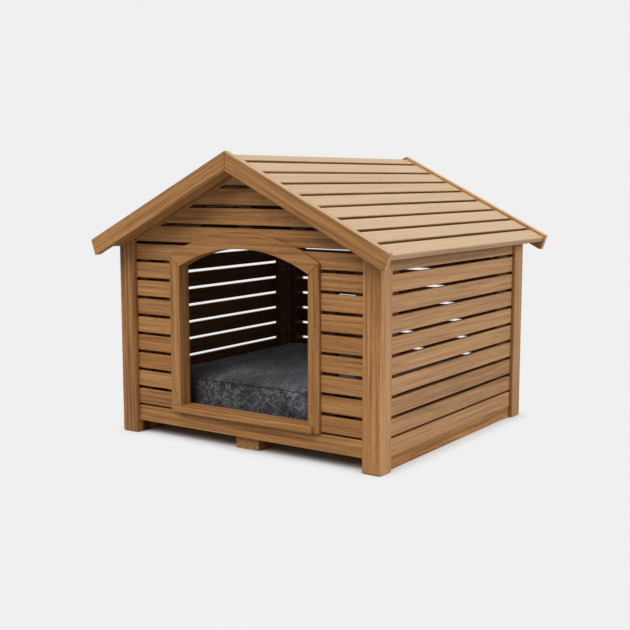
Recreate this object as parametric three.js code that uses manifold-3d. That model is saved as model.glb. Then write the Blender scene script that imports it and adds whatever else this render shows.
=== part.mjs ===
// A slatted wooden dog house: four posts, slatted walls, an arched doorway, a gable roof of
// lengthwise slats between barge boards, and a loose floor cushion.
// Millimetres, +Z up. The origin is at floor level under the middle of the roof, the doorway
// looks along -Y and the ridge runs along Y.

import * as THREE from 'three';
import { mergeVertices } from 'three/addons/utils/BufferGeometryUtils.js';
import Module from 'manifold-3d';

const wasm = await Module();
wasm.setup();

// ---- driving dimensions ----------------------------------------------------------------

const clearance = 0.3; // left between two pieces that touch

// body, over the outer faces of the posts
const houseWidth = 753;
const houseDepth = 727;
const postSide = 48;
const postEdgeRadius = 5;
const postFootChamfer = 3;
const postEdgeSteps = 2; // straight pieces in each half of a rounded edge

// slatted walls; the rows share out the height between the rail, the eaves and the apex
const slatGap = 7.5;
const slatThickness = 12;
const slatEdgeRadius = 1.5;
const tongueLength = 8; // how far slats and rails enter the posts
const gableRecess = 11; // front and rear walls behind the faces of the posts
const sideRecess = 9.5; // side walls behind the outer faces of the posts
const wallRows = 9; // slats between the bottom rail and the eaves
const gableRows = 4; // more rows, up to the ridge, in the front and rear walls
const gableRowDrop = 5.5; // foot of the gable boards below the roof slats over the side walls
const topRowDrop = 30.5; // top of the highest row below the apex
const rearRowDrop = 6; // rail and slats of the rear wall below those of the front
const battenThickness = 18;
const battenHousing = 1; // how deep a batten is let into its slats
const sideBattenWidth = 60;
const frontBattenWidth = 30;
const gableBattenWidth = 40;
const gableBattenShare = 5 / 11; // their place, as a share of the way from the middle to the posts

// base
const railBottom = 30;
const railHeight = 39;
const railThickness = 18;
const railToSlatGap = 5;
const bearerHeight = 46;
const centreBearerWidth = 66;
const centreBearerSetback = 25; // its ends behind the faces of the posts
const sideBearerSetback = 11; // behind the outer faces of the posts
const deckThickness = 14;
const deckBoards = 7;
const deckGap = 5;
const boardEdgeRadius = 2;

// doorway
const doorWidth = 372;
const jambWidth = 30;
const archWidth = 36.6;
const archRise = 48; // from the inner corners of the arch to its underside in the middle
const archDrop = 9; // that underside below the foot of the gable boards
const archSteps = 28; // straight pieces that make up the curve
const doorFrameSetback = 4.5;
const doorFrameDepth = 36;
const sillHeight = 16.5;
const sillProjection = 4; // in front of the posts
const sillLap = 14.6; // how far the sill's nosing laps each jamb
const sillTail = 4; // how far the sill runs past the back of the jambs
const frameEdgeRadius = 1.2;

// roof, measured down the slope from the apex of the barge boards
const apexHeight = 689.5;
const roofPitch = THREE.MathUtils.degToRad(26.4);
const eavesOverhang = 46.5; // barge boards past the posts, measured level
const bargeDepth = 40.2;
const bargeThickness = 15;
const bargeStep = 7.2; // barge boards above the slats
const bargeEndLean = 5;
const bargeToeCut = 7;
const bargeToeRise = 2;
const bargeEdge = 1.2;
const frontOverhang = 49;
const rearOverhang = 50;
const roofSlatGap = 10;
const roofSlatThickness = 13.5;
const ridgeSlatWidth = 31;
const fullRoofSlats = 8; // on each slope, below the ridge slat
const eaveSlatInset = 2.8; // the lowest slat short of the end of the barge boards
const rafterDepth = 24.2;
const rafterThickness = 22;
const rafterSetback = 6;
const vergeWidth = 23;
const vergeLedge = 10;
const vergeDepth = 33;
const ridgeBeamWidth = 22;
const ridgeBeamHeight = 45;
const plateThickness = 22;
const battenLap = 6; // how far the side battens, below the plate, lap the highest slats

// cushion
const cushionSideGap = 5; // to the battens of the side walls
const cushionEndGap = 4; // to the posts, front and rear
const cushionHeight = 86;
const cushionCrown = 7;
const cushionRound = 24; // rounding of its upper and lower edges
const cushionSquareness = 11; // 2 would be an ellipse
const cushionRingPoints = 56;
const cushionEdgeSteps = 4; // round each edge
const cushionCrownSteps = 6; // from the edge to the middle of the top
const cushionPinch = 6; // how far the middle of each side is drawn in
const cushionRise = 0.6; // above the deck

// colours and finishes
const wood = { color: '#a9794a', roughness: 0.62, metalness: 0 };
const paleWood = { color: '#c9a478', roughness: 0.6, metalness: 0 };
const plush = { color: '#3f4144', roughness: 0.95, metalness: 0 };

// ---- places that follow from them --------------------------------------------------------

const roofDepth = frontOverhang + houseDepth + rearOverhang;
const halfWidth = houseWidth / 2;
const frontFace = -roofDepth / 2 + frontOverhang;
const rearFace = frontFace + houseDepth;
const postInner = halfWidth - postSide;
const railTop = railBottom + railHeight;
const firstRow = railTop + railToSlatGap;
const deckBottom = bearerHeight + clearance;
const deckTop = deckBottom + deckThickness;
const slope = Math.tan(roofPitch);
const plumb = Math.cos(roofPitch); // a depth square to the slope, divided by this, is upright

const front = { name: 'front', face: frontFace, inward: 1, rowDrop: 0 };
const rear = { name: 'rear', face: rearFace, inward: -1, rowDrop: rearRowDrop };
const sides = [{ name: 'left', sign: -1 }, { name: 'right', sign: 1 }];

/** Y range between two depths behind the face of the front or rear posts. */
function depthRange(end, near, far) {
  const a = end.face + end.inward * near;
  const b = end.face + end.inward * far;
  return [Math.min(a, b), Math.max(a, b)];
}

/** X range between two depths inside the outer face of the left or right posts. */
function sideRange(side, near, far) {
  const a = side.sign * (halfWidth - near);
  const b = side.sign * (halfWidth - far);
  return [Math.min(a, b), Math.max(a, b)];
}

/** Height of a plane parallel to the roof, a depth square below the top of the barge boards. */
const roofLine = (x, depth) => apexHeight - depth / plumb - Math.abs(x) * slope;

const slatUnderside = bargeStep + roofSlatThickness + clearance;
const rafterUnderside = slatUnderside + rafterDepth;

const eavesRow = roofLine(halfWidth - sideRecess, slatUnderside) - gableRowDrop;
const ridgeRow = apexHeight - topRowDrop;
const wallPitch = (eavesRow - firstRow) / wallRows;
const gablePitch = (ridgeRow - eavesRow) / gableRows;

/** Bottom and top of the slat in a row, counted up from the bottom rail. */
function rowRange(row) {
  const inGable = row >= wallRows;
  const pitch = inGable ? gablePitch : wallPitch;
  const bottom = inGable ? eavesRow + (row - wallRows) * gablePitch : firstRow + row * wallPitch;
  return [bottom, bottom + pitch - slatGap];
}

// ---- solids ------------------------------------------------------------------------------

const X = new THREE.Vector3(1, 0, 0);
const Y = new THREE.Vector3(0, 1, 0);
const Z = new THREE.Vector3(0, 0, 1);

/** Extrudes an outline along an axis. Outlines are drawn in (y, z), (x, z) or (x, y). */
function extrude(outline, axis, [from, to], edge = 0, curveSteps = 1) {
  const shape = outline instanceof THREE.Shape ? outline : new THREE.Shape(outline);
  const geometry = new THREE.ExtrudeGeometry(shape, {
    depth: to - from - 2 * edge,
    curveSegments: curveSteps,
    bevelEnabled: edge > 0,
    bevelSegments: 1,
    bevelSize: edge,
    bevelThickness: edge,
    bevelOffset: -edge,
  });
  geometry.translate(0, 0, edge);
  if (axis === 'x') {
    geometry.applyMatrix4(new THREE.Matrix4().makeBasis(Y, Z, X)).translate(from, 0, 0);
  } else if (axis === 'y') {
    geometry.applyMatrix4(new THREE.Matrix4().makeBasis(X, Z, Y.clone().negate()));
    geometry.translate(0, to, 0);
  } else {
    geometry.translate(0, 0, from);
  }
  return geometry;
}

/** A rectangle with eased corners, from its two ranges. */
function easedRectangle([a0, a1], [b0, b1], radius) {
  const shape = new THREE.Shape();
  shape.absarc(a1 - radius, b0 + radius, radius, -Math.PI / 2, 0);
  shape.absarc(a1 - radius, b1 - radius, radius, 0, Math.PI / 2);
  shape.absarc(a0 + radius, b1 - radius, radius, Math.PI / 2, Math.PI);
  shape.absarc(a0 + radius, b0 + radius, radius, Math.PI, Math.PI * 1.5);
  shape.closePath();
  return shape;
}

/** A closed geometry as a solid that can be joined and cut. */
function solid(geometry) {
  const bare = geometry.clone();
  bare.deleteAttribute('normal');
  bare.deleteAttribute('uv');
  const merged = mergeVertices(bare, 1e-4);
  return new wasm.Manifold(new wasm.Mesh({
    numProp: 3,
    vertProperties: new Float32Array(merged.attributes.position.array),
    triVerts: new Uint32Array(merged.index.array),
  }));
}

/** A solid back as a geometry. */
function geometryOf(body) {
  const mesh = body.getMesh();
  const geometry = new THREE.BufferGeometry();
  geometry.setAttribute('position', new THREE.BufferAttribute(mesh.vertProperties, 3));
  geometry.setIndex(new THREE.BufferAttribute(mesh.triVerts, 1));
  return geometry;
}

/** A plain block, used to cut with. */
function block([x0, x1], [y0, y1], [z0, z1]) {
  const geometry = new THREE.BoxGeometry(x1 - x0, y1 - y0, z1 - z0);
  geometry.translate((x0 + x1) / 2, (y0 + y1) / 2, (z0 + z1) / 2);
  return solid(geometry);
}

const join = (bodies) => bodies.reduce((whole, body) => whole.add(body));
const cut = (body, cutters) => cutters.reduce((rest, cutter) => rest.subtract(cutter), body);

/** A board whose long edges are eased, running along an axis. */
function board(axis, xRange, yRange, zRange, radius = boardEdgeRadius) {
  const ranges = { x: [yRange, zRange, xRange], y: [xRange, zRange, yRange], z: [xRange, yRange, zRange] };
  const [across, up, along] = ranges[axis];
  return solid(extrude(easedRectangle(across, up, radius), axis, along));
}

/** Everything above a plane parallel to the roof, to cut away. */
function aboveRoofLine(depth) {
  const reach = houseWidth;
  const outline = [
    new THREE.Vector2(0, roofLine(0, depth)),
    new THREE.Vector2(reach, roofLine(reach, depth)),
    new THREE.Vector2(reach, apexHeight + reach),
    new THREE.Vector2(-reach, apexHeight + reach),
    new THREE.Vector2(-reach, roofLine(reach, depth)),
  ];
  return solid(extrude(outline, 'y', [-roofDepth, roofDepth]));
}

/** Adds a named piece to a group. */
function add(group, name, shape, finish) {
  const geometry = shape instanceof THREE.BufferGeometry ? shape : geometryOf(shape);
  const piece = new THREE.Mesh(geometry, new THREE.MeshStandardMaterial(finish));
  piece.name = name;
  group.add(piece);
}

// ---- base: rails, bearers and deck -------------------------------------------------------

/** A bottom rail with tongues that enter the posts. */
function bottomRail(end) {
  const height = [railBottom, railTop - end.rowDrop];
  const body = board(
    'x',
    [-postInner + clearance, postInner - clearance],
    depthRange(end, gableRecess, gableRecess + railThickness),
    height,
  );
  const tongue = board(
    'x',
    [-postInner - tongueLength, postInner + tongueLength],
    depthRange(end, gableRecess, gableRecess + slatThickness),
    height,
  );
  return body.add(tongue);
}

const underRail = [0, railBottom - clearance];
const behindRails = [
  frontFace + gableRecess + railThickness + clearance,
  rearFace - gableRecess - railThickness - clearance,
];

/** The middle bearer, notched at both ends so that the rails sit on it. */
function centreBearer() {
  const width = [-centreBearerWidth / 2, centreBearerWidth / 2];
  const foot = [frontFace + centreBearerSetback, rearFace - centreBearerSetback];
  const lower = board('y', width, foot, underRail);
  const upper = board('y', width, behindRails, [0, bearerHeight]);
  return lower.add(upper);
}

/** A side bearer, level with the posts' inner faces and rebated for the side wall's lowest slat. */
function sideBearer(side) {
  const between = [frontFace + postSide + clearance, rearFace - postSide - clearance];
  const behindSlat = sideRecess + slatThickness + clearance;
  const lower = board('y', sideRange(side, sideBearerSetback, postSide), between, underRail);
  const upper = board('y', sideRange(side, behindSlat, postSide), between, [0, bearerHeight]);
  return lower.add(upper);
}

/** The posts' footprint with a clearance all round, to notch other pieces. */
function postEnvelopes(top) {
  const grown = postSide + clearance;
  return [front, rear].flatMap((end) => sides.map((side) => block(
    sideRange(side, -clearance, grown),
    depthRange(end, -clearance, grown),
    [0, top],
  )));
}

/** One board of the deck, notched around any post that it meets. */
function deckBoard(index) {
  const [start, stop] = behindRails;
  const width = (stop - start - (deckBoards - 1) * deckGap) / deckBoards;
  const near = start + index * (width + deckGap);
  const reach = halfWidth - sideRecess - slatThickness - clearance;
  const plain = board('x', [-reach, reach], [near, near + width], [deckBottom, deckTop]);
  return cut(plain, postEnvelopes(apexHeight));
}

function buildBase() {
  const base = new THREE.Group();
  for (const end of [front, rear]) {
    add(base, `${end.name}_bottom_rail`, bottomRail(end), wood);
  }
  add(base, 'floor_bearer_centre', centreBearer(), wood);
  for (const side of sides) {
    add(base, `floor_bearer_${side.name}`, sideBearer(side), wood);
  }
  for (let index = 0; index < deckBoards; index += 1) {
    add(base, `floor_board_${index + 1}`, deckBoard(index), wood);
  }
  return base;
}

// ---- posts -------------------------------------------------------------------------------

/** A corner post: eased edges, a sloped top under the roof and a stopped groove for each wall. */
function post(end, side) {
  const section = [sideRange(side, 0, postSide), depthRange(end, 0, postSide)];
  const outline = easedRectangle(...section, postEdgeRadius);
  const blank = solid(extrude(outline, 'z', [0, apexHeight], postFootChamfer, postEdgeSteps));
  const grooveEnd = tongueLength + clearance;
  const grooveHeight = [railBottom - clearance, apexHeight];
  const gableGroove = block(
    sideRange(side, postSide - grooveEnd, postSide + grooveEnd),
    depthRange(end, gableRecess - clearance, gableRecess + slatThickness + clearance),
    grooveHeight,
  );
  const sideGroove = block(
    sideRange(side, sideRecess - clearance, sideRecess + slatThickness + clearance),
    depthRange(end, postSide - grooveEnd, postSide + grooveEnd),
    grooveHeight,
  );
  return cut(blank, [gableGroove, sideGroove, aboveRoofLine(slatUnderside)]);
}

function buildPosts() {
  const posts = new THREE.Group();
  for (const end of [front, rear]) {
    for (const side of sides) {
      add(posts, `post_${end.name}_${side.name}`, post(end, side), wood);
    }
  }
  return posts;
}

// ---- doorway -----------------------------------------------------------------------------

const doorHalf = doorWidth / 2;
const frameHalf = doorHalf + jambWidth;
const archCrownHeight = eavesRow - archDrop;
const archSpringHeight = archCrownHeight - archRise;
const archRadius = (doorHalf ** 2 + archRise ** 2) / (2 * archRise);
const archCentre = archCrownHeight - archRadius;
const headRadius = archRadius + archWidth;
const headCornerHeight = archCentre + Math.sqrt(headRadius ** 2 - frameHalf ** 2);
const frameFoot = railTop + clearance;
const frameDepthRange = depthRange(front, doorFrameSetback, doorFrameSetback + doorFrameDepth);

/** A door jamb, mitred at its top to meet the arch. */
function jamb(side) {
  const outline = [
    new THREE.Vector2(side.sign * doorHalf, frameFoot),
    new THREE.Vector2(side.sign * frameHalf, frameFoot),
    new THREE.Vector2(side.sign * frameHalf, headCornerHeight - clearance),
    new THREE.Vector2(side.sign * doorHalf, archSpringHeight - clearance),
  ];
  return extrude(outline, 'y', frameDepthRange, frameEdgeRadius);
}

/** Points along an arc about the arch's centre, from the right to the left, between two sides. */
function arc(radius, half) {
  const start = Math.acos(half / radius);
  const points = [];
  for (let step = 0; step <= archSteps; step += 1) {
    const angle = start + (Math.PI - 2 * start) * (step / archSteps);
    points.push(new THREE.Vector2(radius * Math.cos(angle), archCentre + radius * Math.sin(angle)));
  }
  return points;
}

/** The arched head of the doorway, from mitre to mitre. */
function archHead() {
  const outline = [...arc(headRadius, frameHalf), ...arc(archRadius, doorHalf).reverse()];
  return extrude(outline, 'y', frameDepthRange, frameEdgeRadius);
}

/** The sill: a nosing that laps the jambs, and a tread between them. */
function sill() {
  const height = [frameFoot, frameFoot + sillHeight];
  const nosing = board(
    'x',
    [-doorHalf - sillLap, doorHalf + sillLap],
    depthRange(front, -sillProjection, doorFrameSetback - clearance),
    height,
  );
  const tread = board(
    'x',
    [-doorHalf + clearance, doorHalf - clearance],
    depthRange(front, -sillProjection, doorFrameSetback + doorFrameDepth + sillTail),
    height,
  );
  return nosing.add(tread);
}

/** The outside of the door frame with a clearance, to scribe the front wall to. */
function doorEnvelope() {
  const reach = frameHalf + clearance;
  const feet = [new THREE.Vector2(-reach, 0), new THREE.Vector2(reach, 0)];
  const outline = [...feet, ...arc(headRadius + clearance, reach)];
  return solid(extrude(outline, 'y', depthRange(front, -postSide, 2 * postSide)));
}

function buildDoorway() {
  const doorway = new THREE.Group();
  for (const side of sides) {
    add(doorway, `door_jamb_${side.name}`, jamb(side), wood);
  }
  add(doorway, 'door_arch_head', archHead(), wood);
  add(doorway, 'door_sill', sill(), wood);
  return doorway;
}

// ---- walls: slats fixed to the battens behind them ---------------------------------------

const plateOuter = halfWidth - sideRecess - slatThickness - clearance;
const plateBottom = rowRange(wallRows - 1)[0] + battenLap;

/** Depths of the slats and of their battens behind the face of the posts. */
const slatDepth = (recess) => [recess, recess + slatThickness];
const battenDepth = (recess) => [
  recess + slatThickness - battenHousing,
  recess + slatThickness + battenThickness,
];

/** A slat of the front or rear wall. */
function gableSlat(end, row, xRange) {
  const depths = depthRange(end, ...slatDepth(gableRecess));
  const height = rowRange(row).map((edge) => edge - end.rowDrop);
  return board('x', xRange, depths, height, slatEdgeRadius);
}

/** An upright batten behind the front or rear wall. */
function gableBatten(end, xRange, zRange) {
  return board('z', xRange, depthRange(end, ...battenDepth(gableRecess)), zRange);
}

const tongueReach = postInner + tongueLength;
const boardHousing = rafterUnderside - tongueLength; // gable boards enter the rafters this far up
const gableBattenCentre = postInner * gableBattenShare;
const ridgeBeamBottom = roofLine(0, slatUnderside) - ridgeBeamHeight;

const middleBattenRange = [-gableBattenWidth / 2, gableBattenWidth / 2];

/** The three battens that carry the boards of a gable, up to the ridge beam. */
function gableBattens(end) {
  const height = [eavesRow - end.rowDrop, ridgeBeamBottom - clearance];
  return [-gableBattenCentre, 0, gableBattenCentre].map((centre) => {
    const width = middleBattenRange.map((edge) => centre + edge);
    return gableBatten(end, width, height);
  });
}

/** Battens stop under the rafters, and slats enter the rafters' grooves. */
function gableWall(slats, battens) {
  const trimmedSlats = cut(join(slats), [aboveRoofLine(boardHousing + clearance)]);
  const trimmedBattens = cut(join(battens), [aboveRoofLine(rafterUnderside + clearance)]);
  return trimmedSlats.add(trimmedBattens);
}

/** The short slats between a post and a jamb. */
function frontPanel(side) {
  const slatRange = side.sign > 0 ? [0, tongueReach] : [-tongueReach, 0];
  const slats = [];
  for (let row = 0; row < wallRows; row += 1) {
    slats.push(gableSlat(front, row, slatRange));
  }
  const height = [frameFoot, rowRange(wallRows - 1)[1]];
  const atPost = sideRange(side, postSide + clearance, postSide + clearance + frontBattenWidth);
  const jambInset = halfWidth - frameHalf - clearance;
  const atJamb = sideRange(side, jambInset - frontBattenWidth, jambInset);
  const battens = [gableBatten(front, atPost, height), gableBatten(front, atJamb, height)];
  return cut(gableWall(slats, battens), [doorEnvelope()]);
}

/** The boards of the front gable, with the lowest one scribed over the arch. */
function frontGable() {
  const slats = [];
  for (let row = wallRows; row < wallRows + gableRows; row += 1) {
    slats.push(gableSlat(front, row, [-postInner + clearance, postInner - clearance]));
  }
  return cut(gableWall(slats, gableBattens(front)), [doorEnvelope()]);
}

/** The rear wall, from the rail to the ridge, on a batten up its middle and those of the gable. */
function rearPanel() {
  const slats = [];
  for (let row = 0; row < wallRows + gableRows; row += 1) {
    const reach = row < wallRows ? tongueReach : postInner - clearance;
    slats.push(gableSlat(rear, row, [-reach, reach]));
  }
  const middleBatten = gableBatten(rear, middleBattenRange, [frameFoot - rear.rowDrop, eavesRow]);
  return gableWall(slats, [middleBatten, ...gableBattens(rear)]);
}

/** A side wall: its lowest slat, the rows above it, and a batten beside each post. */
function sidePanel(side) {
  const yReach = [frontFace + postSide - tongueLength, rearFace - postSide + tongueLength];
  const across = sideRange(side, ...slatDepth(sideRecess));
  const slats = [board('y', across, yReach, [railBottom, railTop], slatEdgeRadius)];
  for (let row = 0; row < wallRows; row += 1) {
    slats.push(board('y', across, yReach, rowRange(row), slatEdgeRadius));
  }
  const battens = [front, rear].map((end) => board(
    'z',
    sideRange(side, ...battenDepth(sideRecess)),
    depthRange(end, postSide + clearance, postSide + clearance + sideBattenWidth),
    [deckTop + clearance, plateBottom - clearance],
  ));
  return join([...slats, ...battens]);
}

function buildWalls() {
  const walls = new THREE.Group();
  for (const side of sides) {
    add(walls, `front_wall_${side.name}`, frontPanel(side), wood);
    add(walls, `side_wall_${side.name}`, sidePanel(side), wood);
  }
  add(walls, 'front_gable', frontGable(), wood);
  add(walls, 'rear_wall', rearPanel(), wood);
  return walls;
}

// ---- roof frame --------------------------------------------------------------------------

/** A gable rafter between ridge and post, grooved along its lower edge for the gable boards. */
function rafter(end, side) {
  const near = clearance / 2;
  const far = postInner - clearance;
  const corner = (x, depth) => new THREE.Vector2(side.sign * x, roofLine(x, depth));
  const outline = [
    corner(near, rafterUnderside),
    corner(far, rafterUnderside),
    corner(far, slatUnderside),
    corner(near, slatUnderside),
  ];
  const range = depthRange(end, rafterSetback, rafterSetback + rafterThickness);
  const blank = solid(extrude(outline, 'y', range, frameEdgeRadius));
  const grooveOutline = [
    corner(-near, rafterUnderside + tongueLength),
    corner(houseWidth, rafterUnderside + tongueLength),
    corner(houseWidth, boardHousing),
    corner(-near, boardHousing),
  ];
  const grooveRange = depthRange(end, gableRecess - clearance, gableRecess + slatThickness + clearance);
  return cut(blank, [solid(extrude(grooveOutline, 'y', grooveRange))]);
}

/** The ridge beam between the two pairs of rafters, with its top cut to both slopes. */
function ridgeBeam() {
  const half = ridgeBeamWidth / 2;
  const outline = [
    new THREE.Vector2(-half, ridgeBeamBottom),
    new THREE.Vector2(half, ridgeBeamBottom),
    new THREE.Vector2(half, roofLine(half, slatUnderside)),
    new THREE.Vector2(0, roofLine(0, slatUnderside)),
    new THREE.Vector2(-half, roofLine(half, slatUnderside)),
  ];
  const inset = rafterSetback + rafterThickness + clearance;
  return extrude(outline, 'y', [frontFace + inset, rearFace - inset]);
}

/** A wall plate along the top of a side wall, bevelled to the roof. */
function wallPlate(side) {
  const inner = plateOuter - plateThickness;
  const outline = [
    new THREE.Vector2(side.sign * inner, plateBottom),
    new THREE.Vector2(side.sign * plateOuter, plateBottom),
    new THREE.Vector2(side.sign * plateOuter, roofLine(plateOuter, slatUnderside)),
    new THREE.Vector2(side.sign * inner, roofLine(inner, slatUnderside)),
  ];
  const inset = postSide + clearance;
  return extrude(outline, 'y', [frontFace + inset, rearFace - inset]);
}

function buildRoofFrame() {
  const frame = new THREE.Group();
  add(frame, 'ridge_beam', ridgeBeam(), wood);
  for (const side of sides) {
    add(frame, `wall_plate_${side.name}`, wallPlate(side), wood);
    for (const end of [front, rear]) {
      add(frame, `rafter_${end.name}_${side.name}`, rafter(end, side), wood);
    }
  }
  return frame;
}

// ---- roof slopes -------------------------------------------------------------------------
// Each slope is drawn flat and turned as a whole: x runs down the slope from the apex and z
// stands square to it, with the top of the barge boards at zero.

const roofFront = -roofDepth / 2 + bargeThickness + clearance;
const roofRear = roofDepth / 2 - bargeThickness - clearance;
const slatTop = -bargeStep;
const slatBottom = slatTop - roofSlatThickness;
const bargeLength = (halfWidth + eavesOverhang) / plumb;
const roofSlatPitch = (bargeLength - eaveSlatInset - ridgeSlatWidth) / fullRoofSlats;
const roofSlatStart = (index) => ridgeSlatWidth + roofSlatGap + index * roofSlatPitch;

/** Where the upright plane through the ridge cuts a slope, at a height square to it. */
const ridgeCut = (z) => -z * slope + clearance / plumb / 2;

/** Outline points for a slope, mirrored for the left one. */
const slopePoints = (side, points) => points.map(([x, z]) => new THREE.Vector2(side.sign * x, z));

/** A barge board: mitred at the apex, with a clipped toe at the eave. */
function bargeBoard(side, end) {
  const outline = slopePoints(side, [
    [ridgeCut(0), 0],
    [bargeLength, 0],
    [bargeLength + bargeEndLean, bargeToeRise - bargeDepth],
    [bargeLength + bargeEndLean - bargeToeCut, -bargeDepth],
    [ridgeCut(-bargeDepth), -bargeDepth],
  ]);
  const outer = roofDepth / 2;
  const range = end === front ? [-outer, -outer + bargeThickness] : [outer - bargeThickness, outer];
  return extrude(outline, 'y', range, bargeEdge);
}

/** The rebated rafter behind a front barge board: level with the slats, with a ledge for them. */
function vergeRafter(side) {
  const end = roofSlatStart(fullRoofSlats - 1) - clearance;
  const bottom = slatTop - vergeDepth;
  const ledgeTop = slatBottom - clearance;
  const profile = (top) => slopePoints(side, [
    [ridgeCut(top), top],
    [end, top],
    [end, bottom],
    [ridgeCut(bottom), bottom],
  ]);
  const upstand = extrude(profile(slatTop), 'y', [roofFront, roofFront + vergeWidth]);
  const ledge = extrude(profile(ledgeTop), 'y', [roofFront, roofFront + vergeWidth + vergeLedge]);
  return solid(upstand).add(solid(ledge));
}

/** The narrow slat along the ridge, mitred to the one on the other slope. */
function ridgeSlat(side) {
  const outline = slopePoints(side, [
    [ridgeCut(slatTop), slatTop],
    [ridgeSlatWidth, slatTop],
    [ridgeSlatWidth, slatBottom],
    [ridgeCut(slatBottom), slatBottom],
  ]);
  return extrude(outline, 'y', [roofFront + vergeWidth + clearance, roofRear], frameEdgeRadius);
}

/** A full roof slat; the lowest one runs on to the front barge board. */
function roofSlat(side, index) {
  const start = roofSlatStart(index);
  const end = start + roofSlatPitch - roofSlatGap;
  const across = [side.sign * start, side.sign * end].sort((a, b) => a - b);
  const atEave = index === fullRoofSlats - 1;
  const frontEnd = atEave ? roofFront : roofFront + vergeWidth + clearance;
  const section = easedRectangle(across, [slatBottom, slatTop], boardEdgeRadius);
  return extrude(section, 'y', [frontEnd, roofRear]);
}

function buildSlope(side) {
  const slopeGroup = new THREE.Group();
  slopeGroup.position.z = apexHeight;
  slopeGroup.rotation.y = side.sign * roofPitch;
  for (const end of [front, rear]) {
    add(slopeGroup, `barge_board_${end.name}_${side.name}`, bargeBoard(side, end), wood);
  }
  add(slopeGroup, `verge_rafter_${side.name}`, vergeRafter(side), wood);
  add(slopeGroup, `ridge_slat_${side.name}`, ridgeSlat(side), paleWood);
  for (let index = 0; index < fullRoofSlats; index += 1) {
    add(slopeGroup, `roof_slat_${side.name}_${index + 1}`, roofSlat(side, index), paleWood);
  }
  return slopeGroup;
}

// ---- cushion -----------------------------------------------------------------------------

/** A ring around the cushion at an inset from its outline, with the sides drawn in. */
function cushionRing(halfLength, halfBreadth, inset, height) {
  const a = halfLength - inset;
  const b = halfBreadth - inset;
  const ring = [];
  for (let step = 0; step < cushionRingPoints; step += 1) {
    const angle = (step + 0.5) * 2 * Math.PI / cushionRingPoints;
    const squared = (value) => Math.sign(value) * Math.abs(value) ** (2 / cushionSquareness);
    const x = a * squared(Math.cos(angle));
    const y = b * squared(Math.sin(angle));
    const drawnX = Math.sign(x) * cushionPinch * (1 - (y / b) ** 2) * (a / halfLength);
    const drawnY = Math.sign(y) * cushionPinch * (1 - (x / a) ** 2) * (b / halfBreadth);
    ring.push([x - drawnX, y - drawnY, height]);
  }
  return ring;
}

/** Inset and height of each ring, from under the cushion, up its side and over its crown. */
function cushionProfile(maxInset) {
  const profile = [];
  const edgeTop = cushionHeight - cushionCrown;
  for (let step = 0; step <= cushionEdgeSteps; step += 1) {
    const angle = (step / cushionEdgeSteps) * (Math.PI / 2);
    profile.push([cushionRound * (1 - Math.sin(angle)), cushionRound * (1 - Math.cos(angle))]);
  }
  for (let step = 0; step <= cushionEdgeSteps; step += 1) {
    const angle = (step / cushionEdgeSteps) * (Math.PI / 2);
    profile.push([
      cushionRound * (1 - Math.cos(angle)),
      edgeTop - cushionRound * (1 - Math.sin(angle)),
    ]);
  }
  for (let step = 1; step <= cushionCrownSteps; step += 1) {
    const share = step / cushionCrownSteps;
    const inset = cushionRound + (maxInset - cushionRound) * share;
    profile.push([inset, edgeTop + cushionCrown * (1 - (1 - share) ** 2)]);
  }
  return profile;
}

/** The cushion: flat below, soft edges, drawn-in sides and a low crown. */
function cushion() {
  const battenInset = sideRecess + slatThickness + battenThickness;
  const halfLength = halfWidth - battenInset - cushionSideGap;
  const halfBreadth = houseDepth / 2 - postSide - cushionEndGap;
  const maxInset = Math.min(halfLength, halfBreadth) - cushionRound;
  const rings = cushionProfile(maxInset).map(
    ([inset, height]) => cushionRing(halfLength, halfBreadth, inset, height),
  );
  const points = rings.flat();
  const count = cushionRingPoints;
  const lastRing = (rings.length - 1) * count;
  const bottom = points.length;
  const top = bottom + 1;
  points.push([0, 0, 0], [0, 0, cushionHeight]);
  const faces = [];
  for (let step = 0; step < count; step += 1) {
    const next = (step + 1) % count;
    faces.push(bottom, next, step);
    faces.push(top, lastRing + step, lastRing + next);
    for (let ring = 0; ring < rings.length - 1; ring += 1) {
      const here = ring * count;
      const above = here + count;
      faces.push(here + step, here + next, above + next);
      faces.push(here + step, above + next, above + step);
    }
  }
  const geometry = new THREE.BufferGeometry();
  geometry.setAttribute('position', new THREE.Float32BufferAttribute(points.flat(), 3));
  geometry.setIndex(faces);
  geometry.translate(0, (frontFace + rearFace) / 2, deckTop + cushionRise);
  return geometry;
}

// ---- assembly ----------------------------------------------------------------------------

const object = new THREE.Group();
object.add(buildBase(), buildPosts(), buildDoorway(), buildWalls(), buildRoofFrame());
for (const side of sides) {
  object.add(buildSlope(side));
}
add(object, 'cushion', cushion(), plush);

export default object;
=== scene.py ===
# A slatted wooden dog house with an arched doorway and a loose plush cushion.
# Metres, +Z up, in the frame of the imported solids: the doorway looks along -Y, the ridge runs
# along Y, and the origin is at floor level under the middle of the roof.

import math

import bmesh
import bpy
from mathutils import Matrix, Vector, noise


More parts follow.
